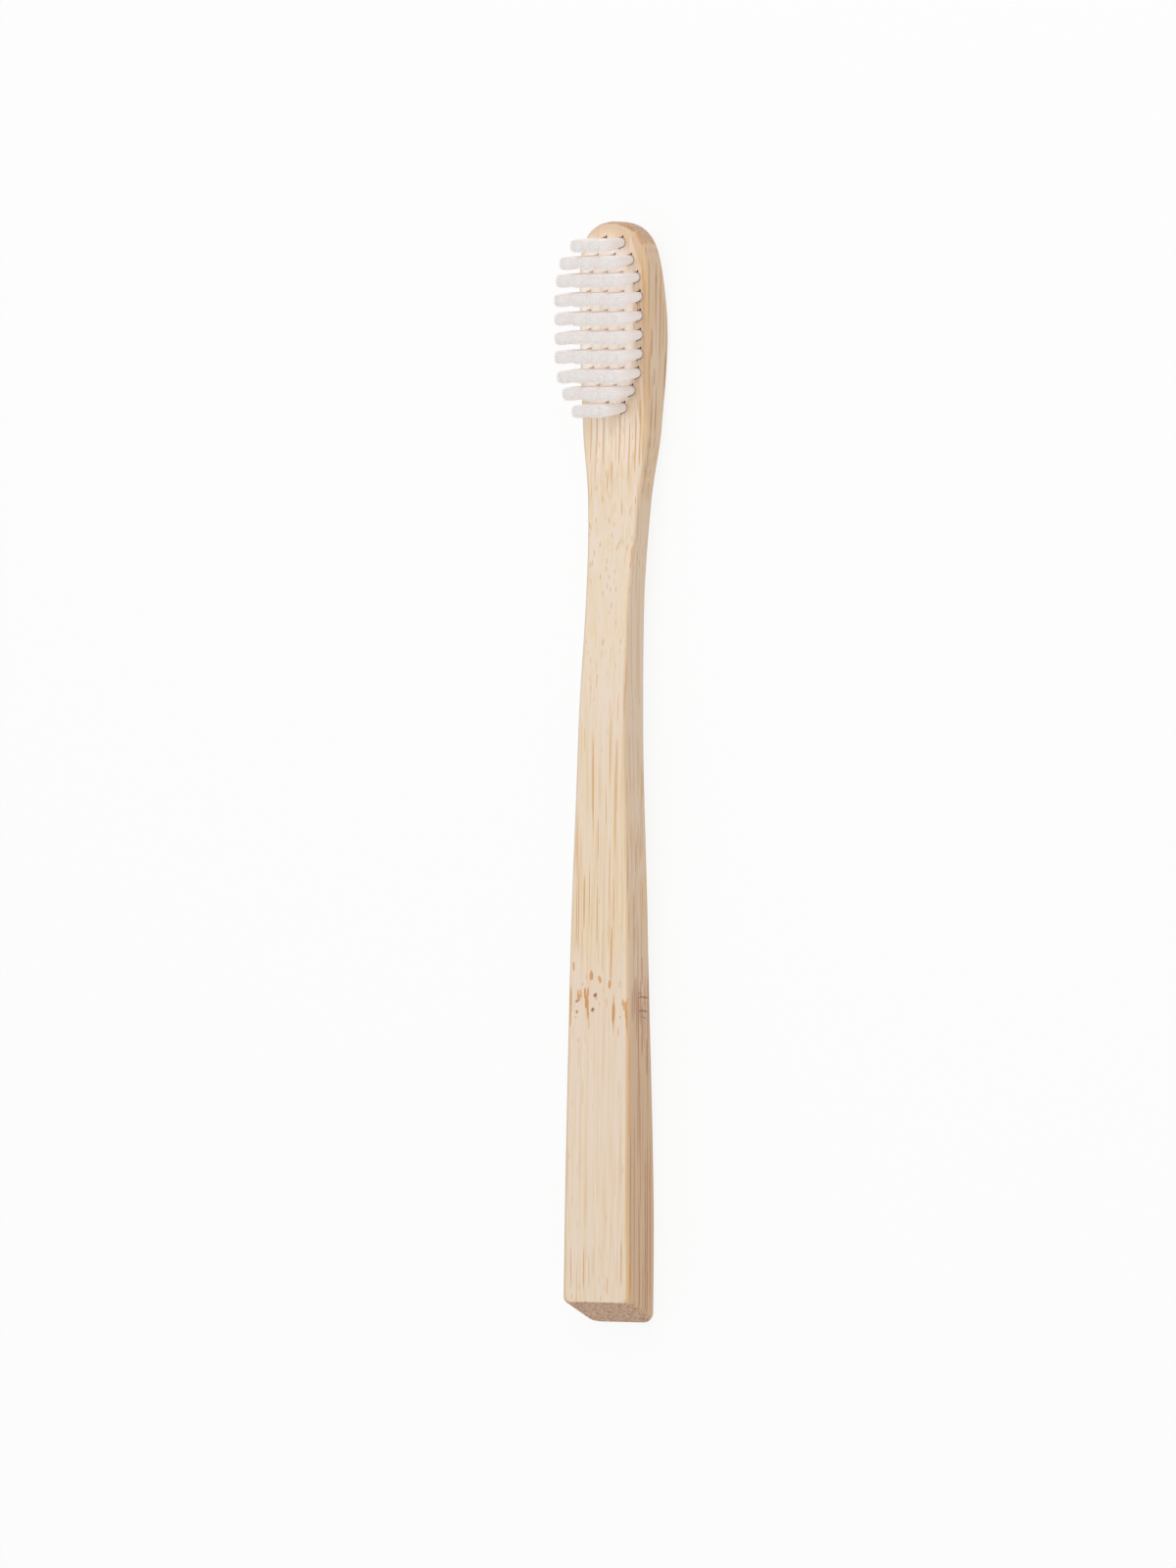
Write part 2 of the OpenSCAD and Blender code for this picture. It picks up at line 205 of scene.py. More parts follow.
def tuftPlaces():
    # [name, x, distance along the bristle face] for each tuft, in the head's axes
    rows = tuftShape["rows"]
    last = len(rows) - 1
    down, found = 0.0, []
    for row, count in enumerate(rows):
        shorter = (row > 0 and rows[row - 1] < count) or (row < last and rows[row + 1] < count)
        full = handleShape["width"]["widest"] - 2 * tuftShape["rim"] - 2 * tuftShape["holeRadius"]
        pitch = full / (max(rows) - 1)
        if count == max(rows) and shorter:
            pitch -= tuftShape["edgeRowSqueeze"]
        level = handleShape["fromTip"]["shoulder"] - tuftShape["tipToFirstRow"] - down
        along = level / math.cos(tilt)
        for column in range(count):
            name = f"tuft_r{row + 1:02d}_c{column + 1}"
            found.append((name, (column - (count - 1) / 2) * pitch, along))
        inEnds = row < tuftShape["endGaps"] or row >= last - tuftShape["endGaps"]
        down += tuftShape["endRowPitch"] if inEnds else tuftShape["rowPitch"]
    return found


def holeOutline():
    # circle with two square notches where the anchor's ends were driven in
    radius, half = tuftShape["holeRadius"], tuftShape["notchHalfWidth"]
    start = math.asin(half / radius)
    arc = np.linspace(start, math.pi - start, tuftShape["arcSteps"] + 2)
    right = np.stack([radius * np.sin(arc), radius * np.cos(arc)], axis=1)
    notch = np.array([[-half, tuftShape["notchReach"]], [half, tuftShape["notchReach"]]])
    outline = np.concatenate([notch, right, -notch, -right])
    turn = math.radians(tuftShape["notchTurn"])
    return outline @ np.array([[math.cos(turn), -math.sin(turn)], [math.sin(turn), math.cos(turn)]])


def inHole(points, centres):
    # true where a point lies just inside a hole's circle or in the strip of its two notches
    turn = math.radians(tuftShape["notchTurn"])
    away = points[:, None, :] - centres[None, :, :]
    across = away[..., 0] * math.cos(turn) - away[..., 1] * math.sin(turn)
    along = away[..., 0] * math.sin(turn) + away[..., 1] * math.cos(turn)
    inCircle = np.hypot(across, along) < tuftShape["holeRadius"] * 0.999
    inNotch = (np.abs(across) < tuftShape["notchHalfWidth"]) & (np.abs(along) < tuftShape["notchReach"])
    return (inCircle | inNotch).any(axis=1)


def makePiece(name, node, points, faces, sharpAngle=None):
    # points in millimetres in the brush's own axes; the mesh is in metres from its middle, and
    # where there is a sharp angle its parts are merged into one closed skin
    mesh = bpy.data.meshes.new(name)
    mesh.from_pydata(((points - [0, middleY, 0]) * mm).tolist(), [], faces)
    if sharpAngle:
        work = bmesh.new()
        work.from_mesh(mesh)
        bmesh.ops.remove_doubles(work, verts=work.verts, dist=onePoint)
        bmesh.ops.dissolve_degenerate(work, edges=work.edges, dist=noEdge)
        bmesh.ops.recalc_face_normals(work, faces=work.faces)
        work.to_mesh(mesh)
        work.free()
    mesh.shade_smooth()
    if sharpAngle:
        mesh.set_sharp_from_angle(angle=math.radians(sharpAngle))
    piece = bpy.data.objects.new(name, mesh)
    bpy.context.scene.collection.objects.link(piece)
    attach(piece, "root")
    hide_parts(node)
    return piece


def addAttribute(piece, name, kind, values):
    # one number or one direction for each point of a piece
    layer = piece.data.attributes.new(name, kind, "POINT")
    layer.data.foreach_set("vector" if kind == "FLOAT_VECTOR" else "value", np.ravel(values))


def makeHandle():
    # levels from the back's flat to the front's: rounded back edge, upright side, rounded front
    # edge; the two flats are grids across, and the head's flat is cut round its holes
    steps = handleShape["steps"]
    backLow, frontLow = handleRing("back", 0), handleRing("front", 0)
    upright = np.linspace(0, 1, steps["up"] + 1)[1:-1]
    rings = [handleRing("back", 90, handleShape["support"])]
    rings += [handleRing("back", turn) for turn in np.linspace(90, 0, steps["backEdge"] + 1)]
    rings += [backLow + (frontLow - backLow) * share for share in upright]
    rings += [handleRing("front", turn) for turn in np.linspace(0, 90, steps["frontEdge"] + 1)]
    rings.append(handleRing("front", 90, handleShape["support"]))
    rings = np.array(rings)
    size = rings.shape[1]
    half = size // 2 - steps["across"] + 1    # points of one side
    leftEnd = size - steps["across"] + 1
    points, faces = [], []

    def addPart(partPoints, *partFaces):
        # one part and its faces, which count its own points from 0
        first = sum(map(len, points))
        points.append(partPoints)
        for numbers in partFaces:
            faces.extend((numbers + first).tolist())

    addPart(rings.reshape(-1, 3), gridFaces(len(rings), size, closed=True))
    share = np.linspace(0, 1, steps["across"] + 1)[None, :, None]
    shoulder = steps["corner"] + 1 + steps["side"]
    for ring, reach in ((rings[0], half), (rings[-1], shoulder + 1)):
        right, left = ring[:reach, None, :], ring[:leftEnd][::-1][:reach, None, :]
        flat = right * (1 - share) + left * share
        addPart(flat.reshape(-1, 3), gridFaces(reach, steps["across"] + 1))

    top = toHead(rings[-1])
    shoulderLine = toHead(flat[-1])[1:-1][::-1]
    border = np.concatenate([top[shoulder:leftEnd - shoulder], shoulderLine])[:, :2]
    hole = holeOutline()
    centres = np.array([[x, y] for _, x, y in tuftPlaces()])
    holes = centres[:, None, :] + hole[None, :, :]
    flatPoints = np.concatenate([border, holes.reshape(-1, 2)])
    loops = [np.arange(len(border))]
    loops += [len(border) + len(hole) * k + np.arange(len(hole)) for k in range(len(centres))]
    edges = [[int(a), int(b)] for loop in loops for a, b in zip(loop, np.roll(loop, -1))]
    insideLoops, precision = 1, 1e-7
    flatPoints = [Vector(p) for p in flatPoints.tolist()]
    cut = geometry.delaunay_2d_cdt(flatPoints, edges, [], insideLoops, precision)
    cutPoints = np.array([list(p) for p in cut[0]])
    triangles = np.array(cut[2])
    triangles = triangles[~inHole(cutPoints[triangles].mean(axis=1), centres)]
    addPart(fromHead(np.column_stack([cutPoints, np.zeros(len(cutPoints))])), triangles)

    walls, bottom = gridFaces(2, len(hole), closed=True), np.arange(len(hole), 2 * len(hole))[None]
    for outline in holes:
        wall = np.array([np.column_stack([outline, np.full(len(hole), z)])
                         for z in (0.0, -tuftShape["holeDepth"])])
        addPart(fromHead(wall.reshape(-1, 3)), walls, bottom)

    handle = makePiece("bamboo_handle", "handle", np.concatenate(points), faces,
                       handleShape["sharpAngle"])
    facing = np.empty(len(handle.data.vertices) * 3)
    handle.data.vertex_normals.foreach_get("vector", facing)
    addAttribute(handle, "facing", "FLOAT_VECTOR", facing)
    return handle


def bundleTubes(path, around):
    # tubes round paths of shape (tubes, rings, 3), with the outline (rings, sides, 3) at each
    # ring, closed by two caps
    count, rings = path.shape[:2]
    sides = around.shape[1]
    points = path[:, :, None, :] + around
    faces = gridFaces(rings, sides, closed=True)
    low = np.arange(sides)[::-1]
    ends = [[low[0], low[i], low[i + 1], low[i + 2]] for i in range(1, sides - 2, 2)]
    top = (rings - 1) * sides
    ends += [[top, top + i, top + i + 1, top + i + 2] for i in range(1, sides - 2, 2)]
    faces = np.concatenate([faces, np.array(ends)])
    step = np.arange(count)[:, None, None] * rings * sides
    return points.reshape(-1, 3), (faces[None] + step).reshape(-1, 4)


def makeTuft(name, x, along):
    # a bundle: an outer and a second ring of whole filaments round a core, and the cut ends of
    # the inner ones on a sunflower spiral, r = R sqrt(k / n); all open quickly above the hole
    shape = tuftShape
    room, sides = shape["filamentRadius"], shape["sides"]
    depth, length = shape["footDepth"], shape["length"] - np.abs(rng.normal(0, shape["lengthSpread"]))
    mouth = depth / (length + depth)    # share of a filament that is down in the hole
    wider = rng.uniform(shape["narrowest"], 1.0)
    lean = rng.normal(0, shape["lean"], 2).clip(-shape["leanLimit"], shape["leanLimit"])
    lean += [shape["stray"].get(name, 0.0), -shape["leanBack"]]

    def free(at):
        # share of the free length above the hole's mouth
        return np.clip((at - mouth) / (1 - mouth), 0, 1)

    def outline(turn, at):
        # a circle at the foot that opens, by 1 - (1 - s)^flare over its free length s, to
        # (cos^n + sin^n)^(-1/n) times the cut end's reach across and along
        opened = 1 - (1 - free(at)) ** shape["flare"]
        cos, sin = np.cos(turn), np.sin(turn)
        power = shape["squareness"]
        square = (np.abs(cos) ** power + np.abs(sin) ** power) ** (-1 / power) * wider
        foot = shape["footRadius"] - room
        return np.stack([cos * (foot + (shape["tipAcross"] * square - room - foot) * opened),
                         sin * (foot + (shape["tipAlong"] * square - room - foot) * opened)], axis=-1)

    def turns(sides):
        # the corners' angles, evenly round a circle
        return np.arange(sides) * 2 * math.pi / sides

    t = np.array([0.0, mouth, mouth + shape["knee"], *shape["bends"], 1.0])
    wide = np.full(len(t), room)
    wide[-1] *= shape["endWidth"]
    circle = np.stack([np.cos(turns(sides)), np.sin(turns(sides)), np.zeros(sides)], axis=1)
    points, faces, height, strand = [], [], [], []

    def addTubes(path, around, at, values):
        # tubes with their heights along the bundle and one value for each of them
        tubePoints, tubeFaces = bundleTubes(path, around)
        faces.append(tubeFaces + sum(map(len, points)))
        points.append(tubePoints)
        height.append(np.repeat(np.tile(at, len(path)), around.shape[1]))
        strand.append(np.repeat(values, len(at) * around.shape[1]))

    for count, share, start in shape["layers"]:
        k = np.arange(count)
        inner = start > 0
        onwards = math.radians(shape["spiralTurn"]) if inner else 2 * math.pi / count
        turn = k * onwards + rng.uniform(0, 2 * math.pi)
        turn = turn + rng.normal(0, shape["turnSpread"], count)
        out = np.sqrt((k + 0.5) / count) if inner else 1 - np.abs(rng.normal(0, shape["ringSpread"], count))
        out *= share
        at = start + (1 - start) * t
        bow = rng.normal(0, shape["bow"], (count, 2))
        reach = length - shape["crown"] * out ** 2 - np.abs(rng.normal(0, shape["unevenness"], count))
        path = np.empty((count, len(t), 3))
        middle = lean * free(at)[:, None] + [x, along]
        path[:, :, :2] = (outline(turn[:, None], at[None, :]) * out[:, None, None]
                          + bow[:, None] * (at ** 2)[:, None] + middle)
        path[:, :, 2] = -depth + (reach[:, None] + depth) * at[None, :]
        addTubes(path, wide[:, None, None] * circle, at, rng.uniform(0, 1, count))

    at = np.linspace(0, 1, shape["coreRings"]) ** shape["coreCrowding"]
    sides = shape["coreSides"]
    path = np.empty((1, len(at), 3))
    path[0, :, :2] = lean * free(at)[:, None] + [x, along]
    path[0, :, 2] = -depth + (length - shape["coreBelowTip"] + depth) * at
    around = np.zeros((len(at), sides, 3))
    around[:, :, :2] = outline(turns(sides)[None, :], at[:, None]) * shape["coreShare"]
    addTubes(path, around, at, [shape["coreStrand"]])
    tuft = makePiece(name + "_filaments", name, fromHead(np.concatenate(points)),
                     np.concatenate(faces).tolist())
    addAttribute(tuft, "height", "FLOAT", np.concatenate(height))
    addAttribute(tuft, "strand", "FLOAT", np.concatenate(strand))
    return tuft


# Helpers for node trees, where a value is a number, a colour or the socket that gives it

def colour(red, green, blue):
    # an 8-bit screen colour as the linear value that a shader takes
    value = np.array([red, green, blue]) / 255
    linear = np.where(value <= 0.04045, value / 12.92, ((value + 0.055) / 1.055) ** 2.4)
    return (*linear.tolist(), 1.0)


unlit = (0.0, 0.0, 0.0, 1.0)


def setSocket(tree, socket, value):
    # a link where the value is a socket, and otherwise the socket's own value
    if isinstance(value, bpy.types.NodeSocket):
        tree.links.new(value, socket)
    else:
        socket.default_value = value


def addNode(tree, kind, inputs=None, **settings):
    # a shader node, laid out in rows of twelve
    node = tree.nodes.new("ShaderNode" + kind)
    node.location = (180 * (len(tree.nodes) % 12), -220 * (len(tree.nodes) // 12))
    for key, value in settings.items():
        setattr(node, key, value)
    for key, value in (inputs or {}).items():
        setSocket(tree, node.inputs[key], value)
    return node


def maths(tree, operation, *values):
    # one sum of one or two values
    return addNode(tree, "Math", dict(enumerate(values)), operation=operation).outputs[0]


def smoothStep(tree, value, low, high, to=(0.0, 1.0)):
    # to[0] + (to[1] - to[0]) * (3 t^2 - 2 t^3), where t runs from 0 at low to 1 at high
    return addNode(tree, "MapRange", {"Value": value, "From Min": low, "From Max": high, "To Min": to[0],
                                      "To Max": to[1]}, interpolation_type="SMOOTHSTEP").outputs[0]


def mixColours(tree, factor, under, over):
    # under + factor * (over - under)
    mix = addNode(tree, "Mix", {"Factor": factor}, data_type="RGBA")
    setSocket(tree, mix.inputs[6], under)
    setSocket(tree, mix.inputs[7], over)
    return mix.outputs[2]


def newGroup(name, inputs, outputs):
    # a node group with inputs and outputs of these names, numbers but for the vector: [itself,
    # the sockets that give its inputs, the sockets that take its outputs]
    group = bpy.data.node_groups.new(name, "ShaderNodeTree")
    for side, keys in (("INPUT", inputs), ("OUTPUT", outputs)):
        for key in keys:
            kind = "NodeSocketVector" if key == "Vector" else "NodeSocketFloat"
            group.interface.new_socket(name=key, in_out=side, socket_type=kind)
    return group, group.nodes.new("NodeGroupInput").outputs, group.nodes.new("NodeGroupOutput").inputs


def placeGroup(tree, group, **inputs):
    # a group in a tree, with values of its own
    return addNode(tree, "Group", inputs, node_tree=group).outputs


def addNoise(tree, vector, scale, detail):
    # smooth noise with this many lumps to a unit of the vector
    return addNode(tree, "TexNoise", {"Vector": vector, "Scale": scale, "Detail": detail}).outputs


def newMaterial(name, kind, inputs=None):
    # a material with one shader: [itself, its tree, the shader]
    material = bpy.data.materials.new(name)
    material.use_nodes = True
    tree = material.node_tree
    tree.nodes.clear()
    output = tree.nodes.new("ShaderNodeOutputMaterial")
    shader = addNode(tree, kind, inputs)
    tree.links.new(shader.outputs[0], output.inputs["Surface"])
    return material, tree, shader


def fillShader(tree, shader, look, height, values):
    # a value for each input that is named, and the height as a fine relief
    bump = addNode(tree, "Bump", {"Strength": look["bumpStrength"], "Distance": look["bumpDepth"],
                                  "Height": height})
    for name, value in {**values, "Normal": bump.outputs[0]}.items():
        tree.links.new(value, shader.inputs[name])


def makeFibreGroup():
    # long thin cells along the brush: Across and Along are a cell's size in millimetres, Width
    # is how much of a cell its fibre fills, and Random is one value for each fibre
    group, given, result = newGroup(
        "bambooFibres", ("Vector", "Across", "Along", "Wander", "Width", "Softness"), ("Mask", "Random"))

    def vector(operation, first, second):
        return addNode(group, "VectorMath", {0: first, 1: second}, operation=operation).outputs[0]

    slow = vector("MULTIPLY", given["Vector"], (0.12, 0.035, 0.12))
    drift = addNoise(group, slow, 1.0, 1.0)["Color"]
    centred = vector("SUBTRACT", drift, (0.5, 0.5, 0.5))
    moved = addNode(group, "VectorMath", {0: centred, "Scale": given["Wander"]}, operation="SCALE")
    placed = vector("ADD", given["Vector"], moved.outputs[0])
    cell = addNode(group, "CombineXYZ", {0: given["Across"], 1: given["Along"], 2: given["Across"]})
    scaled = vector("DIVIDE", placed, cell.outputs[0])
    cells = addNode(group, "TexVoronoi", {"Vector": scaled, "Scale": 1.0})
    inner = maths(group, "SUBTRACT", given["Width"], given["Softness"])
    mask = smoothStep(group, cells.outputs["Distance"], inner, given["Width"], (1.0, 0.0))
    split = addNode(group, "SeparateColor", {0: cells.outputs["Color"]})
    group.links.new(mask, result["Mask"])
    group.links.new(split.outputs[0], result["Random"])
    return group


def makeGrainGroup():
    # noise drawn out along the brush, with grains Across by Along millimetres
    group, given, result = newGroup("bambooGrain", ("Vector", "Across", "Along", "Detail"), ("Value",))
    cell = addNode(group, "CombineXYZ", {0: given["Across"], 1: given["Along"], 2: given["Across"]})
    scaled = addNode(group, "VectorMath", {0: given["Vector"], 1: cell.outputs[0]}, operation="DIVIDE")
    noise = addNode(group, "TexNoise", {"Vector": scaled.outputs[0], "Scale": 1.0,
                                        "Detail": given["Detail"], "Roughness": 0.6})
    group.links.new(noise.outputs["Fac"], result["Value"])
    return group


markValues = ("Centre Across", "Centre Along", "Half Width", "Half Length", "Strength", "Lean")


def makeMarkGroup():
    # one long rounded mark: 1 inside, fading out where
    # |(across - lean * along) / half width|^2 + |along / half length|^3 passes 1
    group, given, result = newGroup("grainMark", ("Across", "Along", *markValues), ("Mask",))

    def power(distance, reach, exponent):
        # |distance / reach|^exponent
        away = maths(group, "ABSOLUTE", maths(group, "DIVIDE", distance, given[reach]))
        return maths(group, "POWER", away, exponent)

    along = maths(group, "SUBTRACT", given["Along"], given["Centre Along"])
    leaned = maths(group, "MULTIPLY", along, given["Lean"])
    fromCentre = maths(group, "SUBTRACT", given["Across"], given["Centre Across"])
    across = maths(group, "SUBTRACT", fromCentre, leaned)
    wide = power(across, "Half Width", 2.0)
    long = power(along, "Half Length", 3.0)
    mask = smoothStep(group, maths(group, "ADD", wide, long), 1.15, 0.45)
    group.links.new(maths(group, "MULTIPLY", mask, given["Strength"]), result["Mask"])
    return group


bambooLook = {
    "colours": {
        "cream": (239, 222, 205), "honey": (238, 219, 190), "rosy": (238, 219, 203),
        "fibre": (228, 190, 138), "deepFibre": (211, 164, 108), "orange": (225, 173, 113),
        "deepOrange": (201, 139, 82), "fresh": (255, 251, 244), "ribbon": (234, 210, 168),
        "dark": (130, 90, 76), "edge": (226, 190, 142), "side": (216, 184, 153),
        "sideFibre": (186, 144, 108), "reddish": (182, 127, 94), "bore": (140, 112, 88),
        "endGrain": (197, 154, 120), "endDots": (112, 78, 58), "endPale": (225, 192, 163)},
    # noises along the grain: [across, along, detail], in millimetres
    "grains": {"bands": (1.7, 80.0, 2.0), "clouds": (5.0, 22.0, 1.0), "fine": (0.16, 9.0, 3.0),
               "finer": (0.42, 30.0, 2.0), "ribbons": (0.55, 75.0, 1.0), "frayed": (0.22, 2.4, 2.0)},
    # fibres: [across, along, how much of it a fibre fills, wander], in millimetres
    "fibres": {"long": (0.34, 30.0, 0.44, 0.4), "thin": (0.22, 17.0, 0.42, 0.3),
               "dashes": (0.36, 2.6, 0.36, 0.3), "side": (0.5, 50.0, 0.44, 0.3)},
    "endCells": {"Across": 0.42, "Along": 30.0, "Wander": 0.3, "Width": 0.66, "Softness": 0.5},
    # how much of a thing there is, each a list of [place, amount] where place runs from the cut
    # end (0) to the tip (1)
    "fibreShare": [(0.0, 0.22), (0.24, 0.16), (0.27, 0.06), (0.33, 0.08), (0.355, 0.55), (0.5, 0.5),
                   (0.56, 0.3), (0.63, 0.12), (0.72, 0.14), (0.755, 0.55), (0.84, 0.55), (1.0, 0.4)],
    "rosyShare": [(0.0, 0.2), (0.12, 0.35), (0.2, 0.6), (0.26, 0.9), (0.31, 0.8), (0.34, 0.2), (0.5, 0.25),
                  (0.56, 0.6), (0.62, 0.2), (0.95, 0.2), (0.98, 0.8)],
    "grainShare": [(0.0, 1.0), (0.5, 0.9), (0.57, 0.45), (0.73, 0.4), (0.77, 1.0), (1.0, 1.0)],
    "edgeShare": [(0.0, 0.9), (0.22, 0.75), (0.34, 0.45), (0.5, 0.3), (0.75, 0.3), (1.0, 0.45)],
    "dashShare": [(0.0, 0.2), (0.5, 0.12), (0.6, 0.28), (0.68, 0.5), (0.72, 0.5), (0.77, 0.25), (1.0, 0.2)],
    # how much painted shade the upright sides take along the brush, with a little of their own tone
    "sideShadeAndTone": [(0.0, 0.95), (0.24, 0.9), (0.34, 0.5), (0.5, 0.3), (0.7, 0.35), (0.78, 0.5), (0.87, 0.42),
                 (0.94, 0.6), (1.0, 0.7)],
    "sideShare": 0.72,
    # limits in millimetres, each as (none of it here, all of it there); a corner's is x + y
    "holes": {"across": (6.3, 6.0), "from": (60.8, 61.4), "to": (93.3, 93.0), "corner": (96.0, 95.5)},
    "litPatch": {"across": (6.0, 2.0), "from": (50.5, 60.0), "to": (66.0, 61.0), "most": 0.38},
    "holeShadeShare": (0.15, 1.0),    # share of painted shade: the far holes are painted as lit through the nylon, each row's nearest is painted dark
    "boreNear": (3.2, 4.6),      # how far across the near holes begin
    "boreReach": 6.5,            # how much further across the short end rows count as near
    "glow": 0.24,    # stands for the light that the clear filaments spread on the wood between them
    "shine": 0.35, "bumpStrength": 0.4, "bumpDepth": 0.00006,
}

# Marks that stand out, listed one by one for each face, in millimetres: [across, along from the
# middle of the brush, half width, half length, strength, and the lean if it has one], where
# across is x, or z on the sides.
frontStreaks = [
    [-1.56, -0.4, 0.128, 8, 0.83, -0.012], [3.3, -0.6, 0.12, 7.2, 0.99, -0.015],
    [1.25, -5.7, 0.104, 3.8, 0.88, -0.01], [-0.33, -11.6, 0.12, 4.2, 0.94], [-2.97, -22.6, 0.16, 5.2, 1],
    [-3.3, -30.1, 0.112, 3.2, 0.66], [2.9, -22, 0.12, 4.6, 0.88], [2.56, -31.5, 0.16, 5.4, 0.94, 0.01],
    [0.84, -30.9, 0.112, 4.2, 0.83], [0, -31.3, 0.104, 2.4, 0.72], [-1.05, -21.3, 0.096, 5.2, 0.61],
    [-4.75, -14, 0.136, 3.8, 0.66, 0.02], [-3.65, -49.2, 0.112, 1.9, 0.5], [4.37, -54.7, 0.12, 1.9, 0.55],
    [6.15, -49.5, 0.144, 4.6, 0.77], [-2.83, -55.2, 0.104, 2.6, 0.5], [6.25, -58, 0.128, 5.5, 0.77],
    [5.25, -83, 0.12, 6, 0.55], [5.11, -84.5, 0.136, 4.3, 1], [-2.34, -85.7, 0.128, 3.8, 0.99],
    [-4.9, -85.6, 0.112, 4, 0.83], [2.33, -88.6, 0.128, 1.6, 0.94], [-1.31, -86.2, 0.096, 3.2, 0.66],
    [-0.46, -84.9, 0.104, 2.9, 0.72], [3.6, -89.6, 0.096, 1.4, 0.55], [6.55, -88, 0.128, 4, 0.88],
    [-3.2, -66, 0.096, 5, 0.39], [5, -66, 0.096, 6, 0.5], [-5.6, -70, 0.104, 6, 0.5],
    [-4.65, 57.5, 0.136, 4.6, 0.94], [-3.5, 58.6, 0.12, 4.4, 0.94], [-2.15, 57.6, 0.144, 5.2, 0.99],
    [-1, 60, 0.096, 3.4, 0.66], [0.1, 60.5, 0.096, 3, 0.66], [1.04, 57.5, 0.144, 5, 1],
    [2.1, 58.8, 0.096, 4, 0.66], [3, 55.5, 0.128, 6, 0.99, 0.01], [4.2, 57, 0.144, 5.6, 0.99],
    [5.1, 60, 0.112, 5, 0.88], [-0.35, 51.7, 0.136, 2.3, 1], [5.95, 66, 0.12, 12, 0.66],
    [6, 83.5, 0.12, 4, 0.77], [5.3, 62, 0.112, 5, 0.77], [4.45, 37.6, 0.24, 1.8, 0.66, 0.04],
    [4.5, 17.5, 0.12, 4.6, 0.77], [4.45, 12.7, 0.112, 2.6, 0.66], [-1.1, 15.7, 0.112, 1.4, 0.88],
    [-2.2, 13.5, 0.104, 2.8, 0.66], [5.15, 92.1, 0.112, 0.9, 0.66], [5.3, 88.4, 0.12, 1.9, 0.66],
    [6.3, 83, 0.176, 2, 0.88], [6.2, 79, 0.128, 1.4, 0.77], [-3.1, 5.5, 0.12, 2.2, 0.66],
    [-4.7, -90.6, 0.128, 0.6, 0.88], [1.05, -90.8, 0.128, 0.45, 0.77],
]
frontDrops = [
    [-4.9, -33.6, 0.26, 0.95, 0.8], [-1.3, -35.1, 0.38, 0.95, 0.9], [0.3, -35.7, 0.34, 0.72, 0.85, -0.2],
    [2.3, -36.6, 0.36, 0.8, 0.95, 0.1], [4.3, -36.5, 0.28, 0.75, 0.5, 0.1], [-2.3, -35.4, 0.2, 0.5, 0.4],
    [-5.4, -40.5, 0.24, 3.8, 0.95], [-3.75, -38.9, 0.34, 0.8, 0.9, 0.1],
    [-4, -38.2, 0.16, 0.7, 0.85, 0.12], [-3.35, -38.2, 0.16, 0.8, 0.8, -0.2],
    [-2.55, -38.2, 0.2, 1.1, 0.95, -0.05], [-2.02, -38.2, 0.2, 1.1, 0.95, 0.05],
    [-2.25, -39.7, 0.44, 1.3, 1, -0.05], [-2, -41.4, 0.26, 1.4, 0.95, -0.08],
    [-1.8, -43.2, 0.14, 1.3, 0.8, -0.04], [3.12, -41.8, 0.17, 3.8, 0.95], [3.12, -41.5, 0.3, 2.2, 1],
    [5.4, -40.3, 0.44, 0.85, 0.95], [5, -39.6, 0.18, 0.6, 0.85, 0.2],
    [5.84, -39.6, 0.18, 0.7, 0.85, -0.1], [5.62, -41.6, 0.26, 1.4, 0.95, -0.05],
    [5.85, -43.8, 0.22, 2.2, 0.9, -0.05], [1.72, -39.8, 0.22, 0.9, 0.5], [4.1, -44.8, 0.22, 0.9, 0.55],
    [-0.4, -38.9, 0.42, 0.5, 0.6], [-0.95, -41.2, 0.4, 0.5, 0.5], [0.9, -37.6, 0.16, 0.5, 0.3],
    [-3.7, -46.3, 0.2, 0.5, 0.5], [-2.4, -46, 0.14, 0.9, 0.35], [2.2, -43.5, 0.14, 1, 0.3],
    [-4.9, -45, 0.14, 1.6, 0.35],
]
frontDots = [
    [-0.56, -38.5, 0.36, 0.36, 1, 0.3], [-1.02, -41, 0.32, 0.36, 0.95, 0.4],
    [-4.2, -39.6, 0.3, 0.26, 0.85, 0.4], [-4.14, -41.4, 0.26, 0.28, 0.75], [-4.36, -42.3, 0.2, 0.2, 0.4],
    [4.4, -42.3, 0.24, 0.2, 0.4], [0.3, -40, 0.18, 0.2, 0.3], [-3, -36.6, 0.18, 0.3, 0.3],
]
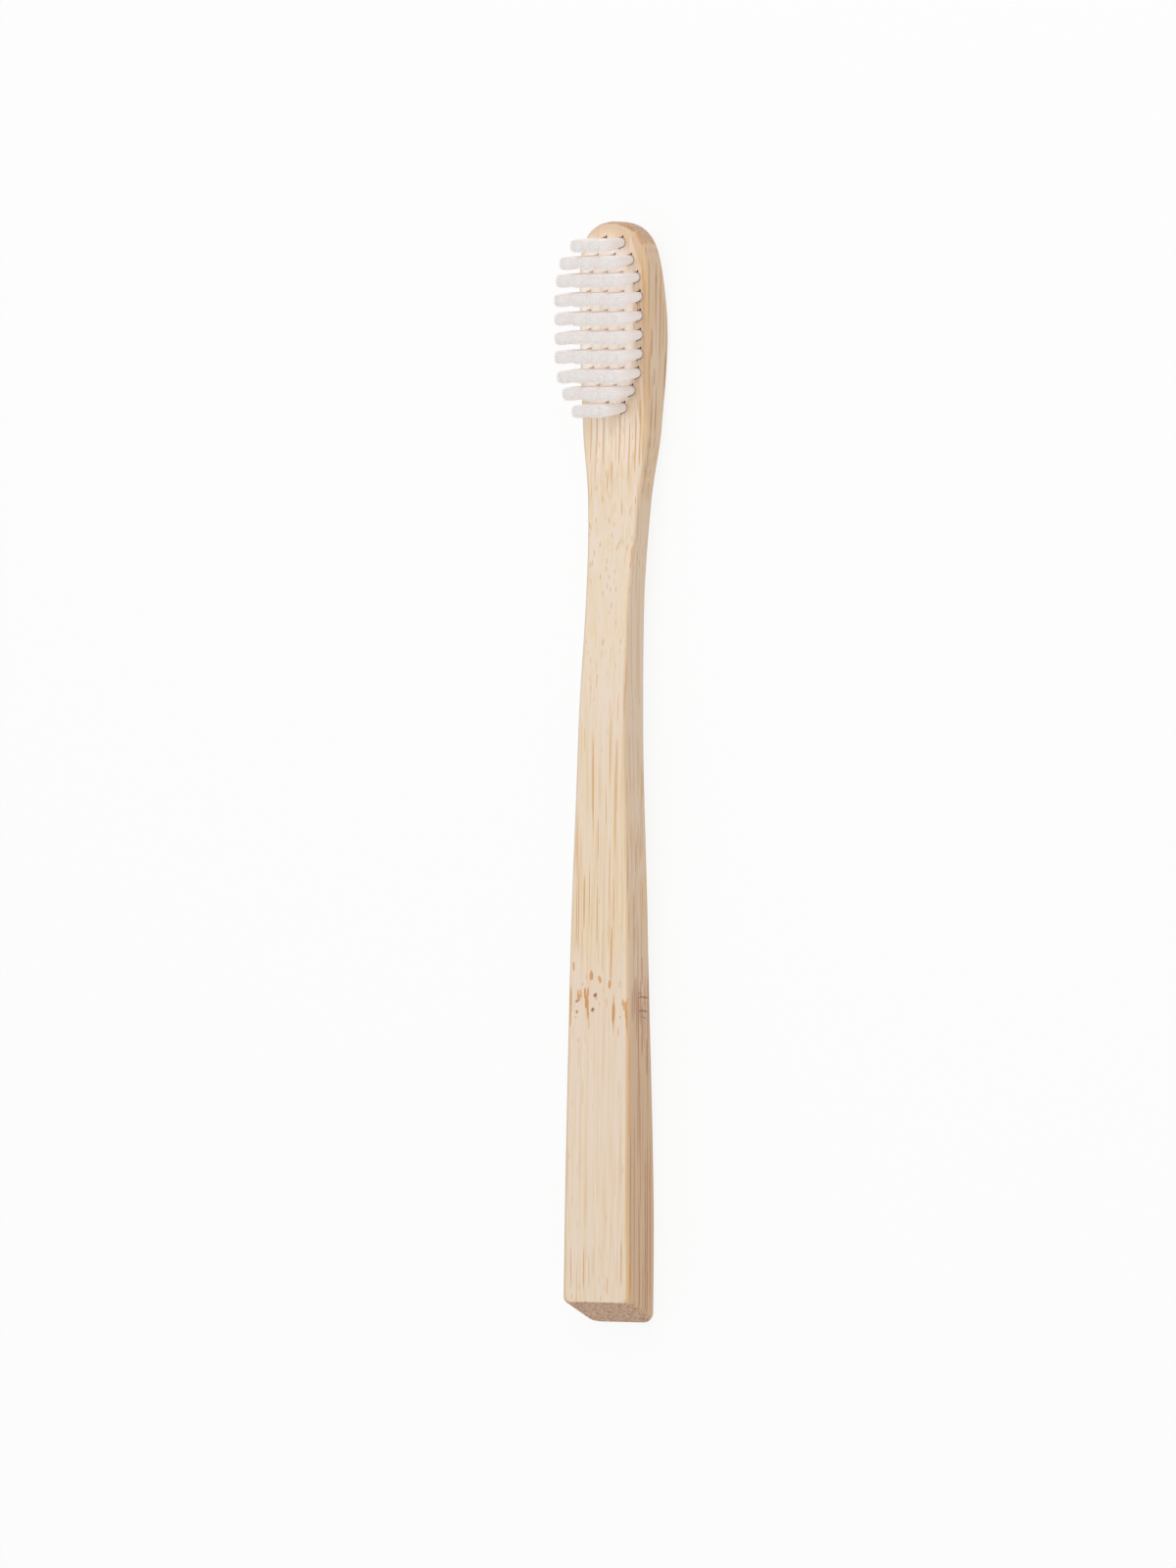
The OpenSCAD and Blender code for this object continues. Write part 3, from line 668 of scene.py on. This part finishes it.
sideStreaks = [
    [8.96, -40.2, 0.18, 3.2, 1], [8, -38.6, 0.18, 3.6, 1], [7.4, -41.4, 0.18, 4, 0.9],
    [6.83, -45.6, 0.22, 8.8, 1], [6.2, -40.2, 0.16, 3, 0.7], [5.58, -34.3, 0.24, 2.6, 0.8],
    [5.56, -44.5, 0.24, 4.8, 1], [3.86, -49, 0.3, 3.4, 0.9], [4.6, -38, 0.2, 3.6, 0.6],
    [8.1, -29, 0.16, 3, 0.6], [6.4, -53.6, 0.18, 2.6, 0.6], [9.45, -76, 0.22, 15, 0.6],
    [8.2, -80, 0.2, 14, 0.7], [6.5, -84, 0.22, 12, 0.9, 0.01], [6.1, -66, 0.16, 9, 0.6],
    [4.4, -80, 0.22, 16, 0.9], [3.75, -85, 0.2, 12, 1], [2.75, -78, 0.24, 16, 0.9],
    [5.2, -90, 0.16, 5, 0.6], [5.2, -62, 0.15, 9, 0.5], [8.2, -68, 0.2, 10, 0.6], [7, -60, 0.14, 8, 0.5],
    [6.7, 74, 0.22, 2.8, 1], [5.5, 68.3, 0.2, 1.6, 0.8], [2.8, 77.5, 0.24, 4.8, 0.6],
    [1.9, 68.8, 0.3, 4, 0.8], [5.4, 85.2, 0.2, 0.9, 0.7], [4.6, 62, 0.17, 5, 0.6], [7.6, 8, 0.15, 6, 0.3],
    [5, -6, 0.15, 8, 0.5], [8.6, 2, 0.14, 6, 0.3], [6, 56, 0.2, 9, 0.7], [5.6, 82, 0.16, 5, 0.6],
    [7.6, -24, 0.14, 7, 0.5], [5.8, -29, 0.16, 6, 0.6], [6.6, 34, 0.14, 5, 0.5], [4, 78, 0.14, 7, 0.6],
    [6.2, 64, 0.15, 5, 0.7],
]
sideLines = [
    [5.1, -38.85, 1.7, 0.17, 0.95], [6.2, -38.2, 0.7, 0.12, 0.6], [5.1, -41.25, 1.7, 0.17, 0.95],
    [4.9, -42.4, 0.9, 0.14, 0.7], [4.6, -39.9, 0.9, 0.1, 0.4],
]
sidePatches = [
    [8.6, -39.6, 0.5, 3.6, 0.35], [7.4, -41.2, 0.6, 6, 0.45], [6.1, -39.8, 0.6, 4.2, 0.55],
    [4.8, -42.2, 0.7, 5.4, 0.6], [3.3, -41, 0.9, 6.6, 0.5],
]
# painted shadow of the tufts on the head's strip beside them, and painted shade across the front of the tip
headShadow = [
    [6.75, 76, 1.2, 20, 0.9], [6.2, 60, 0.6, 6, 0.5, 0.06], [0.5, 93.8, 6, 2.2, 0.55],
    [5.3, 90.6, 1.2, 4.6, 0.8, -0.32],
]
# the field where painted light lies on the wood between the tufts
tuftField = [[-1.15, 77.2, 5.95, 16.6, 0.95]]
tipRim = [
    [3.3, 94, 2.6, 0.8, 0.7, -0.45], [5.2, 92.2, 0.5, 1.3, 0.45, -0.5], [0, 94.9, 3, 0.35, 0.4],
]


def addMarks(tree, group, across, along, marks):
    # the strongest of a list of marks
    total = None
    for values in marks:
        mark = placeGroup(tree, group, Across=across, Along=along, **dict(zip(markValues, values)))["Mask"]
        total = mark if total is None else maths(tree, "MAXIMUM", total, mark)
    return total


def addRamp(tree, value, stops):
    # a grey ramp through (place, grey) stops, straight between them
    ramp = addNode(tree, "ValToRGB", {0: value})
    elements = ramp.color_ramp.elements
    for i, (place, grey) in enumerate(stops):
        stop = elements[i] if i < 2 else elements.new(place)
        stop.position, stop.color = place, (grey, grey, grey, 1)
    return ramp.outputs[0]


def addFibres(tree, group, place, share, size):
    # the fibres of one size whose random value is above 1 - share: [their mask, that value]
    across, along, width, wander = size
    cells = placeGroup(tree, group, Vector=place, Across=across, Along=along, Wander=wander, Width=width,
                       Softness=width * 0.45)
    above = maths(tree, "SUBTRACT", maths(tree, "ADD", cells["Random"], share), 1.0)
    return maths(tree, "MULTIPLY", cells["Mask"], smoothStep(tree, above, 0.0, 0.3)), cells["Random"]


def makeBamboo(fibres, grain, mark):
    # layers on bare wood, each laid as under + mask * (its colour - under): bands, painted shade on
    # the edges, sides and head, painted light between the tufts, cut fibres, marks, painted shade in
    # the bores and end grain; masks come from the place, the facing and noise
    look = bambooLook
    colours = {name: colour(*rgb) for name, rgb in look["colours"].items()}
    material, tree, shader = newMaterial("bamboo", "BsdfPrincipled", {
        "Specular IOR Level": look["shine"], "Emission Strength": look["glow"]})
    times, plus, minus, most = (partial(maths, tree, operation)
                                for operation in ("MULTIPLY", "ADD", "SUBTRACT", "MAXIMUM"))
    step, marked = partial(smoothStep, tree), partial(addMarks, tree, mark)

    def grained(name):
        across, along, detail = look["grains"][name]
        return placeGroup(tree, grain, Vector=place, Across=across, Along=along, Detail=detail)["Value"]

    def alongRamp(name):
        return addRamp(tree, alongShare, look[name])

    def layer(under, mask, name):
        return mixColours(tree, mask, under, colours[name])

    objectPlace = addNode(tree, "TexCoord").outputs["Object"]
    place = addNode(tree, "VectorMath", {0: objectPlace, "Scale": 1 / mm}, operation="SCALE").outputs[0]
    x, y, z = addNode(tree, "SeparateXYZ", {0: place}).outputs
    facing = addNode(tree, "Attribute", attribute_name="facing").outputs["Vector"]
    facingAxes = addNode(tree, "SeparateXYZ", {0: facing}).outputs
    faceX, faceY, faceZ = (maths(tree, "ABSOLUTE", axis) for axis in facingAxes)
    onTop = step(facingAxes[2], 0.0, 0.3)
    onFront = step(faceZ, 0.5, 0.8)
    onSide = step(faceX, 0.45, 0.85)
    onEdge = times(step(faceX, 0.15, 0.5), step(faceX, 1.0, 0.8))
    onEnd = step(faceY, 0.5, 0.85)
    alongShare = maths(tree, "DIVIDE", plus(y, handleShape["length"] / 2), handleShape["length"])

    # tone: wide soft bands, cloudy patches and fine grain
    bands, clouds, fine, finer = (grained(name) for name in ("bands", "clouds", "fine", "finer"))
    warm = plus(times(bands, 0.6), times(clouds, 0.4))
    tone = layer(colours["cream"], step(warm, 0.34, 0.68), "honey")
    ribbons = step(grained("ribbons"), 0.55, 0.61, (0.0, 0.5))
    # painted shade on the upright sides, deepest towards the cut end, with a little of the side grain's own
    # tone
    sideShadeAndTone = times(onSide, alongRamp("sideShadeAndTone"))
    # painted shadow of the tufts on the head's top face, and painted shade on the tip's front
    strip = times(marked(x, y, headShadow), onTop)

    # holes: below the bristle face and inside the limits of the tufts' field
    holes, patch = look["holes"], look["litPatch"]
    fromShoulder = minus(y, float(places["shoulder"] - middleY))
    depth = minus(plus(times(fromShoulder, math.tan(tilt)), faceHeight), z)
    aside = maths(tree, "ABSOLUTE", x)
    inHoles = times(step(depth, 0.03, 0.3), step(aside, *holes["across"]))
    inHoles = times(inHoles, times(step(y, *holes["from"]), step(y, *holes["to"])))
    inHoles = times(inHoles, step(plus(y, aside), *holes["corner"]))
    inHoles = times(inHoles, step(facingAxes[2], -0.6, -0.2))

    # painted light on the wood between the tufts, with a soft patch on the neck's side of the last row where
    # the tufts' shadow falls
    nextTo = times(times(step(y, *patch["from"]), step(y, *patch["to"])),
                   step(aside, *patch["across"], (0.0, patch["most"])))
    field = most(marked(x, y, tuftField), nextTo)
    field = times(times(field, onTop), minus(1.0, inHoles))
    plain = minus(1.0, times(field, 0.92))
    tone = layer(tone, times(ribbons, plain), "ribbon")
    rosy = times(alongRamp("rosyShare"), step(clouds, 0.3, 0.6, (0.6, 1.0)))
    tone = layer(tone, times(rosy, 0.85), "rosy")
    # painted light: a near-white laid on the wood between the tufts
    tone = layer(tone, field, "fresh")
    # painted shade: the sides and the head's strip beside the tufts take the darker side tan
    tone = layer(tone, most(sideShadeAndTone, strip), "side")
    # painted shade on the rounded edges: a darker, warmer tan, strongest towards the cut end
    edgeShade = times(times(onEdge, alongRamp("edgeShare")), step(finer, 0.3, 0.6, (0.6, 1.0)))
    tone = layer(tone, edgeShade, "edge")
    grainy = times(plain, alongRamp("grainShare"))
    tone = layer(tone, times(step(fine, 0.42, 0.8, (0.0, 0.4)), grainy), "fibre")
    tone = layer(tone, times(step(finer, 0.52, 0.66, (0.0, 0.35)), grainy), "fibre")

    # random fibres: long ones where the saw ran along them, short dashes where the curve cuts them
    share = alongRamp("fibreShare")
    long, pick = addFibres(tree, fibres, place, share, look["fibres"]["long"])
    thin = addFibres(tree, fibres, place, share, look["fibres"]["thin"])[0]
    dashes = addFibres(tree, fibres, place, alongRamp("dashShare"), look["fibres"]["dashes"])[0]
    sideLong, sidePick = addFibres(tree, fibres, place, look["sideShare"], look["fibres"]["side"])
    tone = layer(tone, times(times(long, plain), 0.9), "fibre")
    tone = layer(tone, times(times(thin, plain), 0.75), "fibre")
    tone = layer(tone, times(times(dashes, plain), 0.7), "deepFibre")
    heart = times(step(long, 0.45, 1.0), step(pick, 0.6, 0.9))
    tone = layer(tone, times(times(heart, plain), 0.75), "deepFibre")
    sideLong = times(times(sideLong, sideShadeAndTone), step(sidePick, 0.3, 0.9, (0.5, 1.1)))
    tone = layer(tone, sideLong, "sideFibre")

    # the listed marks; their edges break up along the grain
    frayed = grained("frayed")
    wobble = times(minus(frayed, 0.5), 0.45)
    unevenX, unevenZ, unevenY = plus(x, wobble), plus(z, wobble), plus(y, times(wobble, 2.0))
    onRight = times(onSide, step(x, 0.0, 1.0))
    drift = times(minus(finer, 0.5), 0.25)
    streaks = times(marked(plus(x, drift), y, frontStreaks), onTop)
    drops = times(marked(unevenX, unevenY, frontDrops), onFront)
    marks = most(times(streaks, 0.85), drops)
    sideMarks = times(times(marked(plus(z, drift), y, sideStreaks), onSide),
                      step(frayed, 0.25, 0.6, (0.4, 0.9)))
    tone = layer(tone, times(marks, step(frayed, 0.25, 0.6, (0.6, 0.95))), "orange")
    heart = times(step(marks, 0.55, 1.0), step(fine, 0.35, 0.6, (0.2, 0.7)))
    tone = layer(tone, heart, "deepOrange")
    patches = times(marked(unevenZ, unevenY, sidePatches), onRight)
    tone = layer(tone, times(patches, step(finer, 0.35, 0.65, (0.15, 1.0))), "reddish")
    tone = layer(tone, sideMarks, "reddish")
    rim = times(marked(unevenX, unevenY, tipRim), step(faceZ, 0.995, 0.9))
    tone = layer(tone, rim, "reddish")
    dots = times(marked(unevenX, unevenY, frontDots), onFront)
    wavyY = plus(y, times(minus(clouds, bands), 0.8))
    lines = times(marked(z, wavyY, sideLines), onRight)
    dark = most(dots, times(lines, step(frayed, 0.3, 0.55, (0.4, 1.0))))
    tone = layer(tone, times(dark, 0.85), "dark")

    # painted shade in the bores: the near ones are painted dark, and the far ones take on painted light
    # between the tufts
    fromMiddle = maths(tree, "ABSOLUTE", minus(y, tuftField[0][1]))
    nearness = plus(x, step(fromMiddle, 9.0, 14.5, (0.0, look["boreReach"])))
    near, nearer = look["boreNear"]
    tone = layer(tone, times(inHoles, step(nearness, near, nearer, look["holeShadeShare"])), "bore")
    farHoles = times(inHoles, step(nearness, nearer, near))
    tone = layer(tone, times(farHoles, 0.8), "fresh")

    # end grain: darker, with the fibres' cut ends as dots
    ends = placeGroup(tree, fibres, Vector=place, **look["endCells"])
    cloudy = addNoise(tree, place, 2.4, 3.0)["Fac"]
    dotted = times(ends["Mask"], step(ends["Random"], 0.0, 0.9, (0.0, 0.8)))
    endTone = layer(colours["endGrain"], dotted, "endDots")
    endTone = layer(endTone, step(cloudy, 0.44, 0.58, (0.0, 0.85)), "endPale")
    tone = mixColours(tree, onEnd, tone, endTone)
    # painted light: the wood between the tufts and in the far holes glows
    lit = mixColours(tree, most(field, times(farHoles, 0.6)), unlit, tone)

    # a fine relief: grain, grooves along the long fibres and pits in the end grain
    rough = plus(step(fine, 0.3, 0.7, (0.5, 0.66)), times(onEdge, -0.08))
    grooves = times(long, -0.6)
    relief = plus(plus(fine, times(finer, 0.5)), grooves)
    pits = times(ends["Mask"], times(onEnd, -1.5))
    fillShader(tree, shader, look, plus(relief, pits), {
        "Base Color": tone, "Emission Color": lit, "Roughness": rough})
    return material


filamentLook = {
    "foot": colour(238, 232, 229), "middle": colour(237, 228, 224), "tip": colour(233, 229, 227),
    "shade": colour(224, 217, 214),
    "glow": 0.2,        # stands for the light that the clear nylon leads down into the bundle
    "footGlow": 0.75,   # share of it at the feet
    "tipGlow": 0.35,    # share of it that is left on the cut ends
    "streaks": 900.0,   # to the metre
    "shine": 0.4, "bumpStrength": 0.2, "bumpDepth": 0.00001,
}


def makeFilament():
    # tone by the height along a bundle, warmer and pinker below the cut ends as painted light bounced
    # off the wood, and a little duller by strand and streak; the same height sets how much of the
    # glow each part shows
    look = filamentLook
    material, tree, shader = newMaterial("filament", "BsdfPrincipled", {
        "Specular IOR Level": look["shine"], "Emission Strength": look["glow"]})
    height = addNode(tree, "Attribute", attribute_name="height").outputs["Fac"]
    strand = addNode(tree, "Attribute", attribute_name="strand").outputs["Fac"]
    objectPlace = addNode(tree, "TexCoord").outputs["Object"]
    streak = addNoise(tree, objectPlace, look["streaks"], 2.0)["Fac"]
    tone = mixColours(tree, smoothStep(tree, height, 0.0, 0.35), look["foot"], look["middle"])
    tone = mixColours(tree, smoothStep(tree, height, 0.6, 1.0), tone, look["tip"])
    dull = maths(tree, "MULTIPLY", smoothStep(tree, strand, 0.55, 1.0), 0.25)
    tone = mixColours(tree, dull, tone, look["shade"])
    tone = mixColours(tree, smoothStep(tree, streak, 0.5, 0.75, (0.0, 0.2)), tone, look["shade"])
    led = maths(tree, "MULTIPLY", smoothStep(tree, height, 0.35, 0.9, (look["footGlow"], 1.0)),
                smoothStep(tree, height, 1.0, 0.985, (look["tipGlow"], 1.0)))
    lit = mixColours(tree, led, unlit, look["foot"])
    rough = maths(tree, "ADD", maths(tree, "MULTIPLY", strand, 0.12),
                  smoothStep(tree, height, 0.9, 1.0, (0.32, 0.5)))
    fillShader(tree, shader, look, streak, {"Base Color": tone, "Emission Color": lit, "Roughness": rough})
    return material


anchorLook = {
    "metal": colour(200, 176, 112), "tarnish": colour(132, 112, 70),
    "lines": (2500.0, 2500.0, 9000.0),    # rolling lines to the metre along each axis
    "patches": 1100.0,                    # and patches of tarnish
    "bumpStrength": 0.2, "bumpDepth": 0.00002,
}


def makeAnchorMetal():
    # metal with tarnish in patches, rougher and raised along its rolling lines
    look = anchorLook
    material, tree, shader = newMaterial("anchorMetal", "BsdfPrincipled", {"Metallic": 1.0})
    objectPlace = addNode(tree, "TexCoord").outputs["Object"]
    rolled = addNode(tree, "VectorMath", {0: objectPlace, 1: look["lines"]}, operation="MULTIPLY").outputs[0]
    lines = addNoise(tree, rolled, 1.0, 3.0)["Fac"]
    patches = addNoise(tree, objectPlace, look["patches"], 2.0)["Fac"]
    tarnished = smoothStep(tree, patches, 0.45, 0.7, (0.0, 0.6))
    tone = mixColours(tree, tarnished, look["metal"], look["tarnish"])
    rough = smoothStep(tree, lines, 0.3, 0.7, (0.25, 0.5))
    fillShader(tree, shader, look, lines, {"Base Color": tone, "Roughness": rough})
    return material


stageLook = {    # metres and watts
    "floorSize": 6.0, "floorDrop": 0.00002, "floorWhite": 0.9,
    "shownWhite": 0.88,    # share of plain white that the camera sees on the floor
    "sky": 0.62, "lampPower": 2.3, "lampSize": 0.6, "lampDistance": 0.75,
    "lampDirection": (0.1, 0.35, 0.92),
}

cameraView = {
    "imageSize": (1200, 1600), "pixelsPerMm": 5.91,
    "turn": 30.0,           # degrees right of the bristles' direction
    "rise": 0.0,            # degrees towards the head
    "roll": 0.7,            # degrees that the brush leans right
    "aim": (-7.34, -2.1, 4.5),   # image centre: right of, above and in front of the brush's middle, mm
    "distance": 4.0, "nearest": 0.05, "sensor": 36.0,
}


def addFloor():
    # a matt white square; what the camera sees of it, straight or in a reflection, is
    # matt + share * (plain white - matt), which keeps the brush's shadow
    size, low = stageLook["floorSize"] / 2, -stageLook["floorDrop"]
    corners = [(-size, -size, low), (size, -size, low), (size, size, low), (-size, size, low)]
    mesh = bpy.data.meshes.new("floor")
    mesh.from_pydata(corners, [], [(0, 1, 2, 3)])
    floor = bpy.data.objects.new("floor", mesh)
    bpy.context.scene.collection.objects.link(floor)
    material, tree, mix = newMaterial("whiteTable", "MixShader")
    white = stageLook["floorWhite"]
    matt = addNode(tree, "BsdfDiffuse", {"Color": (white, white, white, 1)})
    plain = addNode(tree, "Emission", {"Color": (1, 1, 1, 1), "Strength": 1.0})
    rays = addNode(tree, "LightPath").outputs
    mirrored = maths(tree, "MAXIMUM", rays["Is Glossy Ray"], rays["Is Transmission Ray"])
    seen = maths(tree, "MAXIMUM", rays["Is Camera Ray"], mirrored)
    share = maths(tree, "MULTIPLY", seen, stageLook["shownWhite"])
    for socket, value in zip(mix.inputs, (share, matt.outputs[0], plain.outputs[0])):
        tree.links.new(value, socket)
    mesh.materials.append(material)


def addLight():
    # an even sky, at full white where the camera sees it, and one soft lamp above the head
    world = bpy.data.worlds.new("studio")
    world.use_nodes = True
    tree = world.node_tree
    tree.nodes.clear()
    output = tree.nodes.new("ShaderNodeOutputWorld")
    seen = addNode(tree, "LightPath").outputs["Is Camera Ray"]
    strength = maths(tree, "ADD", maths(tree, "MULTIPLY", seen, 1.0 - stageLook["sky"]), stageLook["sky"])
    sky = addNode(tree, "Background", {"Color": (1, 1, 1, 1), "Strength": strength})
    tree.links.new(sky.outputs[0], output.inputs[0])
    bpy.context.scene.world = world
    lamp = bpy.data.lights.new("softbox", "AREA")
    lamp.energy = stageLook["lampPower"]
    lamp.size = stageLook["lampSize"]
    holder = bpy.data.objects.new("softbox", lamp)
    direction = Vector(stageLook["lampDirection"]).normalized()
    holder.location = direction * stageLook["lampDistance"]
    holder.rotation_euler = direction.to_track_quat("Z", "Y").to_euler()
    bpy.context.scene.collection.objects.link(holder)


def addCamera():
    # the long lens sees an image height of imageSize / pixelsPerMm at its distance
    view = cameraView
    turn, rise, roll = (math.radians(view[key]) for key in ("turn", "rise", "roll"))
    toCamera = Vector((math.sin(turn) * math.cos(rise), math.sin(rise), math.cos(turn) * math.cos(rise)))
    across = Vector((math.cos(turn), 0, -math.sin(turn)))
    up = toCamera.cross(across)
    right = across * math.cos(roll) + up * math.sin(roll)
    top = toCamera.cross(right)
    middle = (across * view["aim"][0] + up * view["aim"][1] + toCamera * view["aim"][2]) * mm
    camera = bpy.data.cameras.new("camera")
    camera.sensor_fit = "VERTICAL"
    camera.sensor_height = view["sensor"]
    camera.lens = view["sensor"] * view["distance"] / (view["imageSize"][1] / view["pixelsPerMm"] * mm)
    camera.clip_start = view["nearest"]
    holder = bpy.data.objects.new("camera", camera)
    holder.matrix_world = Matrix.Translation(middle + toCamera * view["distance"]) @ Matrix(
        (right, top, toCamera)).transposed().to_4x4()
    bpy.context.scene.collection.objects.link(holder)
    bpy.context.scene.camera = holder


fibreGroup, grainGroup, markGroup = makeFibreGroup(), makeGrainGroup(), makeMarkGroup()
bamboo = makeBamboo(fibreGroup, grainGroup, markGroup)
filament = makeFilament()
anchorMetal = makeAnchorMetal()
print("materials made")

makeHandle().data.materials.append(bamboo)
print("handle made")
for tuftName, tuftX, tuftAlong in tuftPlaces():
    makeTuft(tuftName, tuftX, tuftAlong).data.materials.append(filament)
print("tufts made:", len(tuftPlaces()))
for nodeName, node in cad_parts.items():
    if nodeName.startswith("anchors"):
        node.data.materials.clear()
        node.data.materials.append(anchorMetal)
print("anchors finished")

addFloor()
addLight()
addCamera()
bpy.context.scene.view_settings.view_transform = "Standard"
print("stage, lamp and camera set")
